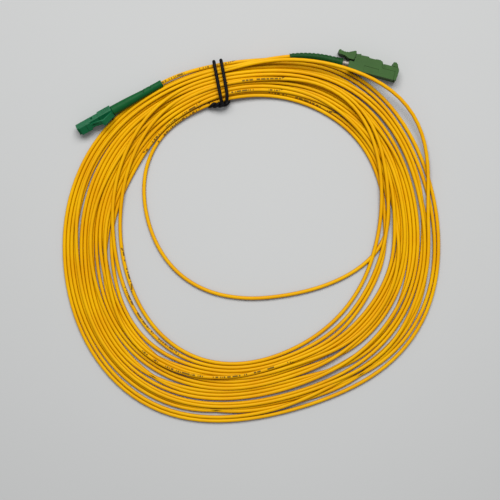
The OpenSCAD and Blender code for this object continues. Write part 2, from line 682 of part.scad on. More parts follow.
module shutter_plug_crimp_sleeve() {
  color(metal) at_large_plug() difference() {
    union() {
      rod(-large_post_end, -body_l, neck_d);
      rod(-large_sleeve_end, -large_post_end + eps, neck_d - 0.5);
      rod(-neck_end + 0.9, -neck_end + 1.3, neck_d + 0.3);
    }
    rod(-large_post_end - eps, 0, large_post_d + 2 * seat_fit);
    rod(-large_sleeve_end - 1, 0, cord_d + 2 * seat_fit);
  }
}

// Rib i of the boot, counted from the neck: its outer radius.
boot_l = boot_straight + boot_arc_l;
ribs = floor(boot_l / rib_pitch);
groove = 0.25;
function rib_r(i) = (ribbed_boot_d + (ribbed_boot_end_d - ribbed_boot_d) * i / (ribs - 1)) / 2;
// A ring of the boot, s millimetres behind the neck and r in radius.
function boot_circle(s, r, sides) =
  let (
    a = max(0, s - boot_straight) / boot_arc_l * boot_bend,
    c = s < boot_straight ? [-neck_end - s, 0, 0] : boot_point(a),
    z = [-sin(a), 0, cos(a)]
  )
  [for (k = [0 : sides - 1]) c + r * (cos(360 * k / sides) * [0, 1, 0] + sin(360 * k / sides) * z)];

// One closed surface: down the ribs on the outside and back up the stepped bore.
module shutter_plug_boot() {
  sides = 24;
  bore = cord_r + cord_fit;
  sleeve_r = neck_d / 2 - 0.25 + cord_fit;
  sleeve_s = large_sleeve_end + 0.1 - neck_end;
  neck_r = neck_d / 2 + seat_fit;
  neck_s = large_post_end + 0.1 - neck_end;
  profile = concat(
    [for (i = [0 : ribs - 1]) let (s = max(seat_fit, i * rib_pitch), e = i * rib_pitch + rib_pitch * 0.62, r = rib_r(i))
       each [[s, r], [e, r], [e, r - groove], [(i + 1) * rib_pitch, r - groove]]],
    [[ribs * rib_pitch, rib_r(ribs - 1)], [boot_l, rib_r(ribs - 1)]],
    [for (i = [8 : -1 : 0]) [boot_straight + boot_arc_l * i / 8, bore]],
    [[sleeve_s, bore], [sleeve_s, sleeve_r], [neck_s, sleeve_r], [neck_s, neck_r], [seat_fit, neck_r]]);
  n = len(profile);
  points = [for (p = profile) each boot_circle(p[0], p[1], sides)];
  walls = [for (i = [0 : n - 1]) for (k = [0 : sides - 1])
    let (a = i * sides + k, b = i * sides + (k + 1) % sides, c = ((i + 1) % n) * sides)
    each [[a, b, c + k], [b, c + (k + 1) % sides, c + k]]];
  color(dark_green) at_large_plug() polyhedron(points = points, faces = walls);
}

module shutter_plug_fibre() {
  color("white") at_large_plug() rod(large_jacket_x, -18.5, fibre_d);
}

cord_coil();
latch_plug_lead();
shutter_plug_lead();
wire_tie();
latch_plug_housing();
latch_plug_latch();
latch_plug_clip();
latch_plug_trigger();
latch_plug_ferrule();
latch_plug_ferrule_holder();
latch_plug_spring();
latch_plug_backpost();
latch_plug_crimp_sleeve();
latch_plug_boot();
latch_plug_fibre();
shutter_plug_body();
shutter_plug_shutter();
shutter_plug_shutter_pin();
shutter_plug_shutter_spring();
shutter_plug_lever();
shutter_plug_lever_pin();
shutter_plug_ferrule();
shutter_plug_ferrule_holder();
shutter_plug_spring();
shutter_plug_backpost();
shutter_plug_crimp_sleeve();
shutter_plug_boot();
shutter_plug_fibre();
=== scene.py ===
"""Coiled fibre optic patch cord: cord, tie, springs, finishes, stage and camera over the CAD frame.

Lengths are in millimetres and angles in degrees, unless a name or a unit says otherwise. Meshes are written
in metres, in the frame of the CAD parts: X to the shuttered plug, Y to the tied side of the coil, Z up.
"""

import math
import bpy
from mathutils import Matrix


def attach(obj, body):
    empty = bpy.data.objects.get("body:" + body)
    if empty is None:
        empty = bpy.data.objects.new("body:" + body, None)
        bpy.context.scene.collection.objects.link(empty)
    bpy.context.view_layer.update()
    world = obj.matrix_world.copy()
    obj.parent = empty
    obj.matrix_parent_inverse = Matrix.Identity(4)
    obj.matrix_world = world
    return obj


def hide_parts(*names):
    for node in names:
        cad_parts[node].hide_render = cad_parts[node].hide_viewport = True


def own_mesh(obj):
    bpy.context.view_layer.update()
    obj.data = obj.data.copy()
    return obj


bl_info = {
    "name": "Fibre Patch Cord",
    "version": (1, 0, 0),
    "blender": (4, 2, 0),
    "location": "3D View > Sidebar > Patch Cord",
    "description": "Dresses a coiled fibre optic patch cord with its cord, tie, springs and finishes",
    "category": "Object",
}

import bpy
import numpy as np

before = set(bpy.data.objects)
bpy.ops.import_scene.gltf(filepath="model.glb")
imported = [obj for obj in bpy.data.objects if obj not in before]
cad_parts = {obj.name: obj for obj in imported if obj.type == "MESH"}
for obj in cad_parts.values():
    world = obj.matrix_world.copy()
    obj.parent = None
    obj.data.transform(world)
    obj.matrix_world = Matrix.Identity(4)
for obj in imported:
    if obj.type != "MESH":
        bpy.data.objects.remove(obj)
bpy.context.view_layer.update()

MM = 0.001
ROOT = "cord_and_plugs"
UP = np.array([0.0, 0.0, 1.0])

# Places that the CAD parts share: the coil's centre and tied place, and the two plugs.
COIL_CENTRE = np.array([7.875, -78.045])
TIE_ANGLE = 100.8
SMALL_PLUG_AT = np.array([-84.175, -19.795, 3.729])
SMALL_PLUG_TURN, SMALL_PLUG_ROLL = 209.2, -39.3
LARGE_PLUG_AT = np.array([84.975, 8.455, 3.5])
LARGE_PLUG_TURN, LARGE_PLUG_ROLL = -14.5, -90.0
SMALL_BOOT_END = -51.0
SMALL_JACKET_END = -27.0
LARGE_JACKET_END = -33.2
LARGE_BOOT_START = -36.6
LARGE_BOOT_BEND = 20.0
LARGE_BOOT_ARC = 21.5

# The coil: ten turns spiral in over the floor and nine spiral out over them. A lane is a turn's place in its
# layer, counted from the outside.
TURNS = 19
LOWER_TURNS = 10
COIL_RADIUS = 99.4
FIRST_LANE, LAST_LANE = 0.3, 1.5
# Where the cord climbs to the upper layer, in turns.
CLIMB = (9.96, 10.14)
# Width of the bundle at the tie and away from it, and the power by which it opens.
TIED_WIDTH = 17.0
SPREAD_WIDTH = 30.5
OPENING = 0.375
# How far the wire lifts the turns at the tie, and over what angle.
TIE_LIFT = 2.07
TIE_REACH = 14.0
# Height of the upper layer and distance between settled turns, in diameters of cord.
ROW_HEIGHT = 1.1
TURN_DISTANCE = 1.01
# How the turns settle: the share of its stray that a turn keeps, how far it sinks and the share of a push
# that it takes, all in one step, and the steps that smooth the settled path.
STRAY_KEPT = 0.985
SINK = 0.03
PUSH_TAKEN = 0.7
LAST_SMOOTHING = 10
# How the coil's outline departs from a circle: waves in a full round, their height, and the angle of a crest.
OUTLINE_WAVES = ((2, 3.6, 27), (3, 0.9, -26), (4, 2.1, -34))
# How a turn wanders about its lane: waves in one turn, their phase in waves, and their share of the wander.
WANDER_WAVES = ((0.37, 0.1, 1.0), (1.61, 0.3, 0.8), (2.73, 0.55, 0.6), (4.17, 0.8, 0.45))
# How far the inner and the outer edge of the bundle stand out from even lanes, at every thirtieth degree.
EDGE_STEP = 30
EDGES = np.array([
    (-0.8, 1.8), (0.0, 1.4), (-1.8, 2.4), (0.6, -2.2), (-0.8, 0.8), (-5.4, 2.1),
    (-1.2, 2.8), (0.0, 3.4), (-2.6, 4.2), (1.0, 3.1), (-1.2, 1.9), (-5.0, 2.7)])
# Stretches that leave the bundle: places in turns from the tie, and distances from the coil's centre.
LONE_LOOP = (
    (9.285, 71.8), (9.308, 64.3), (9.323, 58.0), (9.344, 50.9), (9.383, 41.8), (9.423, 35.6), (9.474, 31.7),
    (9.531, 30.6), (9.59, 31.7), (9.655, 36.3), (9.697, 40.6), (9.738, 45.7), (9.78, 51.1), (9.822, 57.8),
    (9.863, 65.9), (9.89, 71.5))
FIRST_CROSSING = (
    (14.103, 91.8), (14.125, 91.6), (14.145, 89.3), (14.166, 84.3), (14.19, 79.7), (14.211, 75.7),
    (14.234, 72.1), (14.258, 69.0), (14.29, 66.0), (14.323, 63.6), (14.363, 62.2), (14.42, 61.0),
    (14.482, 61.9), (14.521, 64.5), (14.557, 67.4), (14.603, 69.8), (14.649, 70.0), (14.699, 68.8),
    (14.74, 68.4), (14.78, 69.4), (14.82, 71.6), (14.86, 75.0), (14.90, 79.2), (14.94, 83.6))
SECOND_CROSSING = (
    (16.132, 92.8), (16.151, 90.9), (16.171, 86.6), (16.192, 81.6), (16.211, 78.3), (16.229, 76.1),
    (16.26, 73.1), (16.28, 70.4), (16.322, 68.2), (16.363, 66.4), (16.41, 65.2), (16.447, 65.1),
    (16.488, 66.2), (16.53, 68.3), (16.572, 71.0), (16.613, 72.8), (16.659, 73.2), (16.705, 72.5),
    (16.74, 72.3), (16.78, 73.6), (16.82, 76.2), (16.86, 79.8), (16.90, 83.8), (16.94, 87.8))
OUTER_LOOP = (
    (18.036, 94.7), (18.054, 96.2), (18.072, 98.0), (18.089, 100.0), (18.107, 102.2), (18.131, 105.9),
    (18.143, 108.0), (18.156, 110.2), (18.172, 111.4), (18.184, 110.3), (18.195, 107.6), (18.205, 104.2),
    (18.213, 101.4), (18.228, 98.9))
# Each stretch with the part of a turn in which it leaves its lane and comes back, and the steps that smooth
# the path where it does.
ROUTES = ((LONE_LOOP, 0.04), (FIRST_CROSSING, 0.05), (SECOND_CROSSING, 0.05), (OUTER_LOOP, 0.02))
ROUTE_SMOOTHING = 12
# In turns: where the cord stops wandering for the lone loop, and where the outer loop lies on the shuttered
# plug.
LONE_CALM = (9.2, 9.35, 9.8, 9.95)
ON_PLUG = (18.06, 18.085, 18.155, 18.18)
# Where the row of printed marks comes to the top: start and end in turns, and a lean towards the coil's
# centre as a share of the way round the cord. It comes up and goes down again within PRINT_EASE.
PRINT_UP = (
    (0.0, 0.012, 0.0), (9.05, 9.12, 0.1), (9.91, 9.97, 0.08), (10.89, 10.97, 0.05), (11.005, 11.06, 0.0),
    (11.48, 11.66, 0.02), (14.005, 14.06, 0.0), (14.72, 14.77, 0.12), (16.62, 16.74, 0.1))
PRINT_EASE = 0.01
# Each hump: start, full, still full and end, in turns and a height in rows of cord.
HUMPS = (
    (14.07, 14.11, 14.22, 14.28, 1.0),
    (14.76, 14.82, 14.93, 14.99, 1.0),
    (16.08, 16.12, 16.22, 16.28, 1.0),
    (16.76, 16.82, 16.93, 16.99, 1.0),
    (18.03, 18.10, 18.16, 18.28, 2.3),
)

# The tie: the angle at which its wire starts round the bundle and how far it goes, its gap to the bundle, how
# its corners are rounded (1 gives an ellipse).
TIE_START = -178
TIE_SWEEP = 712
TIE_GAP = 0.06
TIE_ROUNDING = 0.5
# Its tail: where it starts, along the cord, outwards from the bundle's inner edge and up from its middle; how
# far it goes outwards and up over its length; and its twists.
TAIL_START = (-0.6, -1.0, 0.6)
TAIL_LEAN = (1.6, -2.6)
TAIL_TWISTS = 1.6

# The view from above: its middle, the height at which its scale holds and its width in pixels.
VIEW_MIDDLE = (7.065, -83.395)
VIEW_LEVEL = 4.0
VIEW_PIXELS = 500
# The floor: its side, and the place from which painted shade darkens it outwards.
FLOOR_SIDE = 6000.0
FLOOR_SHADE_MIDDLE = (20.0, -140.0, 0.0)


# ---------------------------------------------------------------- sizes and colours
class CordSettings(bpy.types.PropertyGroup):
    """Sizes and finish of the yellow cord."""

    diameter: bpy.props.FloatProperty(
        name="Diameter", description="Outside diameter of the jacket", default=0.002, unit="LENGTH")
    wander: bpy.props.FloatProperty(
        name="Wander", description="How far the turns stray from even lanes", default=0.0014, unit="LENGTH")
    stations: bpy.props.IntProperty(
        name="Stations", description="Rings of mesh in one turn of the coil", default=120, min=48)
    settling: bpy.props.IntProperty(
        name="Settling", description="Steps in which the turns settle on each other", default=260, min=1)
    colour: bpy.props.FloatVectorProperty(
        name="Jacket", description="Colour of the jacket", subtype="COLOR", default=(0.85, 0.46, 0.0))
    deep_colour: bpy.props.FloatVectorProperty(
        name="Jacket, deeper", description="Deeper tone of the jacket", subtype="COLOR",
        default=(0.8, 0.385, 0.0))
    # Painted shade: the deep brown-orange that the jacket's sides and underside are painted with.
    painted_shade_colour: bpy.props.FloatVectorProperty(
        name="Jacket, sides", description="Tone of the jacket towards its underside", subtype="COLOR",
        default=(0.29, 0.08, 0.0))
    print_colour: bpy.props.FloatVectorProperty(
        name="Marks", description="Colour of the printed marks", subtype="COLOR", default=(0.05, 0.035, 0.01))


class TieSettings(bpy.types.PropertyGroup):
    """Sizes and finish of the covered tie wire."""

    diameter: bpy.props.FloatProperty(
        name="Wire", description="Outside diameter of the covered wire", default=0.0018, unit="LENGTH")
    spread: bpy.props.FloatProperty(
        name="Spread", description="Distance between its two turns", default=0.0038, unit="LENGTH")
    tail: bpy.props.FloatProperty(
        name="Tail", description="Length of the twisted tail", default=0.0085, unit="LENGTH")
    colour: bpy.props.FloatVectorProperty(
        name="Cover", description="Colour of the wire's cover", subtype="COLOR",
        default=(0.004, 0.004, 0.006))


class SmallPlugSettings(bpy.types.PropertyGroup):
    """Finish of the small latching plug."""

    colour: bpy.props.FloatVectorProperty(
        name="Moulding", description="Colour of housing, latch, clip and trigger", subtype="COLOR",
        default=(0.003, 0.122, 0.046))
    boot_colour: bpy.props.FloatVectorProperty(
        name="Boot", description="Colour of the smooth boot", subtype="COLOR", default=(0.002, 0.092, 0.022))
    spring_wire: bpy.props.FloatProperty(
        name="Spring wire", description="Diameter of the ferrule spring's wire", default=0.00035,
        unit="LENGTH")


class LargePlugSettings(bpy.types.PropertyGroup):
    """Finish of the shuttered plug."""

    colour: bpy.props.FloatVectorProperty(
        name="Moulding", description="Colour of body, shutter and lever", subtype="COLOR",
        default=(0.027, 0.096, 0.011))
    boot_colour: bpy.props.FloatVectorProperty(
        name="Boot", description="Colour of the ribbed boot", subtype="COLOR", default=(0.006, 0.06, 0.009))
    spring_wire: bpy.props.FloatProperty(
        name="Spring wire", description="Diameter of the ferrule spring's wire", default=0.0005,
        unit="LENGTH")


class StageSettings(bpy.types.PropertyGroup):
    """Camera, floor and lamps."""

    pixel: bpy.props.FloatProperty(
        name="Scale", description="Width of one pixel of a 500 pixel view", default=0.00053, unit="LENGTH")
    height: bpy.props.FloatProperty(
        name="Camera height", description="Height of the camera over the cord", default=0.55, unit="LENGTH")
    floor: bpy.props.FloatVectorProperty(
        name="Floor", description="Colour of the floor", subtype="COLOR", default=(0.585, 0.598, 0.608))
    key: bpy.props.FloatProperty(
        name="Key lamp", description="Power of the soft lamp beyond the tied side", default=12.6,
        unit="POWER")
    sky: bpy.props.FloatProperty(
        name="Room light", description="Strength of the even room light", default=0.3)


# ---------------------------------------------------------------- shared shapes
def unit(v):
    """Each vector divided by its length."""
    return v / np.linalg.norm(v, axis=-1, keepdims=True)


def turned(points, roll, turn, at):
    """Points of a plug's own frame, rolled about x, turned about z and moved to the plug's place."""
    r, t = math.radians(roll), math.radians(turn)
    about_x = np.array([[1, 0, 0], [0, math.cos(r), -math.sin(r)], [0, math.sin(r), math.cos(r)]])
    about_z = np.array([[math.cos(t), -math.sin(t), 0], [math.sin(t), math.cos(t), 0], [0, 0, 1]])
    return np.asarray(points, float) @ (about_z @ about_x).T + at


def in_small_plug(points):
    """Points of the small plug's frame, with x to its nose and z to its latch."""
    return turned(points, SMALL_PLUG_ROLL, SMALL_PLUG_TURN, SMALL_PLUG_AT)


def in_large_plug(points):
    """Points of the shuttered plug's frame, with x to its nose and z to its lever."""
    return turned(points, LARGE_PLUG_ROLL, LARGE_PLUG_TURN, LARGE_PLUG_AT)


def rings_round(path, ahead, side, radius, sides):
    """Rings round the path's points: the radius, one for all or one for each point, times the cosine of an
    angle along side, and times its sine along the third direction."""
    third = np.cross(ahead, side)
    angle = np.arange(sides) * 2 * math.pi / sides
    across = np.cos(angle)[:, None] * side[:, None] + np.sin(angle)[:, None] * third[:, None]
    return path[:, None] + np.reshape(radius, (-1, 1, 1)) * across


def level_rings(path, radius, sides):
    """Rings of a tube along a path that never stands upright. Each ring starts at the path's level side."""
    ahead = unit(np.gradient(path, axis=0))
    return rings_round(path, ahead, unit(np.cross(UP, ahead)), radius, sides)


def carried_rings(path, radius, sides):
    """Rings of a tube along any path, narrower at its two ends. The first side is carried along the path, and
    each ring's side is the one before it with what lies along the path taken out."""
    ahead = unit(np.gradient(path, axis=0))
    side = np.zeros_like(path)
    tilted_up = UP + 0.1
    side[0] = unit(np.cross(ahead[0], tilted_up))
    for i in range(1, len(path)):
        side[i] = unit(side[i - 1] - ahead[i] * (side[i - 1] @ ahead[i]))
    from_end = np.minimum(np.arange(len(path)), np.arange(len(path))[::-1])
    ends = np.minimum(1, 0.72 + 0.28 * from_end)
    return rings_round(path, ahead, side, radius * ends, sides)


def surface(name, rings, finish, body=ROOT, uv=None):
    """A closed skin over rings of points (rows, sides, 3) in millimetres, with both ends capped. uv gives the
    two coordinates of each corner of the grid, (rows, sides + 1, 2)."""
    rows, sides = rings.shape[:2]
    here = np.arange(rows * sides).reshape(rows, sides)
    after = np.roll(here, -1, axis=1)
    quads = np.stack([here[:-1], after[:-1], after[1:], here[1:]], axis=-1).reshape(-1, 4)
    faces = quads.tolist() + [here[0][::-1].tolist(), here[-1].tolist()]
    mesh = bpy.data.meshes.new(name)
    mesh.from_pydata((rings.reshape(-1, 3) * MM).tolist(), [], faces)
    mesh.polygons.foreach_set("use_smooth", [True] * len(faces))
    if uv is not None:
        corners = np.stack([uv[:-1, :-1], uv[:-1, 1:], uv[1:, 1:], uv[1:, :-1]], axis=2).reshape(-1, 2)
        ends = np.zeros((2 * sides, 2))
        layer = mesh.uv_layers.new(name="along")
        layer.data.foreach_set("uv", np.concatenate([corners, ends]).ravel())
    mesh.materials.append(finish)
    piece = bpy.data.objects.new(name, mesh)
    bpy.context.scene.collection.objects.link(piece)
    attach(piece, body)
    return piece


def ramp(a, b, t):
    """Smooth step from 0 at a to 1 at b."""
    q = np.clip((t - a) / (b - a), 0, 1)
    return q * q * (3 - 2 * q)


def window(edges, t):
    """Smooth step up between the first two edges and down again between the next two."""
    return ramp(edges[0], edges[1], t) * (1 - ramp(edges[2], edges[3], t))


def smooth(values, times=1, share=0.25, where=True):
    """Moves each value between the ends towards its neighbours, in place."""
    for _ in range(times):
        values[1:-1] += np.where(where, share * (values[:-2] - 2 * values[1:-1] + values[2:]), 0)


def bridge(a, a_way, b, b_way, count, pull):
    """A cubic curve from a to b that leaves along a_way and arrives along b_way, and the stiffer the larger
    pull is."""
    q = np.linspace(0, 1, count)[:, None]
    h0, h1 = 2 * q**3 - 3 * q**2 + 1, q**3 - 2 * q**2 + q
    return h0 * a + h1 * pull * a_way + (1 - h0) * b + (q**3 - q**2) * pull * b_way


# ---------------------------------------------------------------- finishes
def material(name, colour, roughness, metallic=0.0, specular=0.5):
    """A new material with one Principled shader; its constants stand on the shader's own sockets."""
    made = bpy.data.materials.new(name)
    made.use_nodes = True
    shader = made.node_tree.nodes["Principled BSDF"]
    shader.inputs["Base Color"].default_value = (*colour, 1)
    shader.inputs["Roughness"].default_value = roughness
    shader.inputs["Metallic"].default_value = metallic
    shader.inputs["Specular IOR Level"].default_value = specular
    return made, made.node_tree.nodes, made.node_tree.links, shader


def maths(nodes, links, operation, a, b=0.0):
    """A Math node: operation on a and b, each a socket or a number."""
    node = nodes.new("ShaderNodeMath")
    node.operation = operation
    for socket, value in zip(node.inputs, (a, b)):
        if isinstance(value, (int, float)):
            socket.default_value = value
        else:
            links.new(value, socket)
    return node.outputs[0]


def noise(nodes, links, vector, scale, detail=3.0):
    """A Noise Texture's factor at a scale in waves per metre."""
    node = nodes.new("ShaderNodeTexNoise")
    node.inputs["Scale"].default_value = scale
    node.inputs["Detail"].default_value = detail
    links.new(vector, node.inputs["Vector"])
    return node.outputs["Fac"]


def mixed(nodes, links, factor, a, b):
    """A colour between a and b, each a socket or a colour."""
    node = nodes.new("ShaderNodeMix")
    node.data_type = "RGBA"
    links.new(factor, node.inputs["Factor"])
    for socket, value in zip((node.inputs["A"], node.inputs["B"]), (a, b)):
        if isinstance(value, bpy.types.NodeSocket):
            links.new(value, socket)
        else:
            socket.default_value = (*value, 1)
    return node.outputs["Result"]


def spread(nodes, links, value, low, high, to_low, to_high):
    """A value mapped from one range to another, held inside it."""
    node = nodes.new("ShaderNodeMapRange")
    for name, number in (("From Min", low), ("From Max", high), ("To Min", to_low), ("To Max", to_high)):
        node.inputs[name].default_value = number
    links.new(value, node.inputs["Value"])
    return node.outputs["Result"]


def bumped(nodes, links, shader, height, strength, distance, rounding=0.0):
    """A bump on the shader, over edges that read as rounded where rounding, in metres, is given."""
    bump = nodes.new("ShaderNodeBump")
    bump.inputs["Strength"].default_value = strength
    bump.inputs["Distance"].default_value = distance
    links.new(height, bump.inputs["Height"])
    if rounding:
        edge = nodes.new("ShaderNodeBevel")
        edge.samples = 4
        edge.inputs["Radius"].default_value = rounding
        links.new(edge.outputs["Normal"], bump.inputs["Normal"])
    links.new(bump.outputs["Normal"], shader.inputs["Normal"])


def moulded_finish(name, colour, roughness=0.34, grain=0.25, specular=0.4):
    """Moulded plastic: a tone that drifts a little, faint flow marks, and edges that catch the light."""
    made, nodes, links, shader = material(name, colour, roughness, specular=specular)
    place = nodes.new("ShaderNodeTexCoord").outputs["Object"]
    drift = noise(nodes, links, place, scale=180)
    deep = [c * 0.82 for c in colour]
    pale = [min(1, c * 1.16 + 0.004) for c in colour]
    links.new(mixed(nodes, links, drift, deep, pale), shader.inputs["Base Color"])
    fine = noise(nodes, links, place, scale=4200, detail=2)
    rough = spread(nodes, links, fine, 0.3, 0.7, roughness - 0.05, roughness + 0.09)
    links.new(rough, shader.inputs["Roughness"])
    bumped(nodes, links, shader, fine, grain, distance=0.00003, rounding=0.00012)
    return made


def boot_finish(name, colour):
    """Soft moulding: matt, with a fine skin and slightly rubbed high places."""
    made, nodes, links, shader = material(name, colour, 0.5, specular=0.15)
    place = nodes.new("ShaderNodeTexCoord").outputs["Object"]
    drift = noise(nodes, links, place, scale=260, detail=4)
    deep = [c * 0.75 for c in colour]
    rubbed = [c * 1.25 + 0.003 for c in colour]
    links.new(mixed(nodes, links, drift, deep, rubbed), shader.inputs["Base Color"])
    fine = noise(nodes, links, place, scale=6500, detail=2)
    links.new(spread(nodes, links, fine, 0.3, 0.7, 0.44, 0.6), shader.inputs["Roughness"])
    bumped(nodes, links, shader, fine, strength=0.35, distance=0.00004, rounding=0.0001)
    return made


def metal_finish(name, colour, roughness, brushed=900):
    """Plated or drawn metal: fine lines that vary its roughness."""
    made, nodes, links, shader = material(name, colour, roughness, metallic=1.0)
    place = nodes.new("ShaderNodeTexCoord").outputs["Object"]
    lines = noise(nodes, links, place, brushed, detail=5)
    rough = spread(nodes, links, lines, 0.3, 0.7, roughness * 0.7, roughness * 1.5)
    links.new(rough, shader.inputs["Roughness"])
    bumped(nodes, links, shader, lines, strength=0.12, distance=0.00002)
    return made


def ceramic_finish():
    """Polished white zirconia with a faint cloud in its tone."""
    made, nodes, links, shader = material("ceramic", (0.86, 0.86, 0.82), 0.12)
    place = nodes.new("ShaderNodeTexCoord").outputs["Object"]
    cloud = noise(nodes, links, place, scale=900)
    links.new(mixed(nodes, links, cloud, (0.82, 0.82, 0.77), (0.9, 0.9, 0.87)), shader.inputs["Base Color"])
    return made


def buffer_finish():
    """White fibre buffer, satin with a little grain."""
    made, nodes, links, shader = material("buffer", (0.8, 0.8, 0.77), 0.4)
    place = nodes.new("ShaderNodeTexCoord").outputs["Object"]
    grain = noise(nodes, links, place, scale=3000)
    bumped(nodes, links, shader, grain, strength=0.2, distance=0.00003)
    return made


def jacket_finish(settings):
    """Satin yellow jacket. UV u runs along the cord in centimetres and v once round it. A row of short
    generic marks runs along v = 0.5, with gaps. Painted shade darkens the colour from the cord's top to its
    sides and underside, by the way the surface faces."""
    made, nodes, links, shader = material("jacket", settings.colour, 0.42, specular=0.1)
    place = nodes.new("ShaderNodeTexCoord").outputs["Object"]
    uv = nodes.new("ShaderNodeUVMap")
    uv.uv_map = "along"
    parts = nodes.new("ShaderNodeSeparateXYZ")
    links.new(uv.outputs["UV"], parts.inputs["Vector"])
    along, round_it = parts.outputs["X"], parts.outputs["Y"]
    drift = spread(nodes, links, noise(nodes, links, place, scale=60, detail=4), 0.35, 0.65, 0, 1)
    top = mixed(nodes, links, drift, tuple(settings.deep_colour), tuple(settings.colour))
    # Painted shade: where the surface faces sideways or down, the colour turns to the painted shade colour.
    facing = nodes.new("ShaderNodeSeparateXYZ")
    links.new(nodes.new("ShaderNodeNewGeometry").outputs["Normal"], facing.inputs["Vector"])
    painted_lit_share = spread(nodes, links, facing.outputs["Z"], 0.15, 0.75, 0.1, 1)
    shaded_jacket_colour = mixed(nodes, links, painted_lit_share, tuple(settings.painted_shade_colour), top)

    def chance(cells_per_cm, seed):
        """A random number for each cell along the cord."""
        cell = maths(nodes, links, "FLOOR", maths(nodes, links, "MULTIPLY", along, cells_per_cm))
        node = nodes.new("ShaderNodeTexWhiteNoise")
        node.noise_dimensions = "1D"
        links.new(maths(nodes, links, "ADD", cell, seed), node.inputs["W"])
        return node.outputs["Value"]

    turn = maths(nodes, links, "FRACT", round_it)
    off = maths(nodes, links, "ABSOLUTE", maths(nodes, links, "SUBTRACT", turn, 0.5))
    in_line = maths(nodes, links, "LESS_THAN", off, 0.075)
    mark = maths(nodes, links, "GREATER_THAN", chance(cells_per_cm=21.0, seed=3.0), 0.4)
    word = maths(nodes, links, "GREATER_THAN", chance(cells_per_cm=2.7, seed=41.0), 0.28)
    printed = maths(nodes, links, "MULTIPLY", maths(nodes, links, "MULTIPLY", in_line, mark), word)
    faded = maths(nodes, links, "MULTIPLY", printed, 0.8)
    links.new(mixed(nodes, links, faded, shaded_jacket_colour, tuple(settings.print_colour)), shader.inputs["Base Color"])
    fine = noise(nodes, links, place, scale=2600, detail=2)
    links.new(spread(nodes, links, fine, 0.3, 0.7, 0.36, 0.5), shader.inputs["Roughness"])
    bumped(nodes, links, shader, fine, strength=0.16, distance=0.00003)
    return made


def wire_finish(settings):
    """Black plastic cover with a soft shine and small dents."""
    made, nodes, links, shader = material("wire cover", settings.colour, 0.55, specular=0.12)
    place = nodes.new("ShaderNodeTexCoord").outputs["Object"]
    dents = noise(nodes, links, place, scale=700, detail=2)
    bumped(nodes, links, shader, dents, strength=0.35, distance=0.00012)
    return made


def floor_finish(settings):
    """Pale matt board with a barely seen mottle, and painted shade that makes it a little darker away from
    its middle.
    """
    made, nodes, links, shader = material("floor", settings.floor, 0.9, specular=0.05)
    place = nodes.new("ShaderNodeTexCoord").outputs["Object"]
    cloud = noise(nodes, links, place, scale=5)
    tone = tuple(settings.floor)
    mottle = mixed(nodes, links, cloud, [c * 0.985 for c in tone], [min(1, c * 1.015) for c in tone])
    # Painted shade: the floor's tone falls to 0.92 of itself between 6 and 28 cm from its middle.
    away = nodes.new("ShaderNodeVectorMath")
    away.operation = "DISTANCE"
    links.new(place, away.inputs[0])
    away.inputs[1].default_value = [c * MM for c in FLOOR_SHADE_MIDDLE]
    edge = spread(nodes, links, away.outputs["Value"], 0.06, 0.28, 0, 1)
    links.new(mixed(nodes, links, edge, mottle, [c * 0.92 for c in tone]), shader.inputs["Base Color"])
    return made


def dress(finishes):
    """Gives each CAD part its finish, by the part's name."""
    for node, finish in finishes.items():
        part = bpy.data.objects[node]
        part.data.materials.clear()
        part.data.materials.append(finish)


# ---------------------------------------------------------------- cord
def bulge(angle):
    """How far the coil's outline stands out from a circle at an angle."""
    a = np.radians(angle)
    return sum(height * np.cos(waves * (a - math.radians(crest))) for waves, height, crest in OUTLINE_WAVES)


def edge_shifts(angle):
    """Shifts of the bundle's inner and outer edge at an angle: each table row weighs as a raised cosine that
    falls to nothing at its neighbours."""
    rows = np.arange(len(EDGES)) * EDGE_STEP
    away = np.abs(np.mod(angle[:, None] - rows + 180, 360) - 180)
    weight = np.where(away < EDGE_STEP, 0.5 + 0.5 * np.cos(math.pi * away / EDGE_STEP), 0)
    return (weight @ EDGES).T


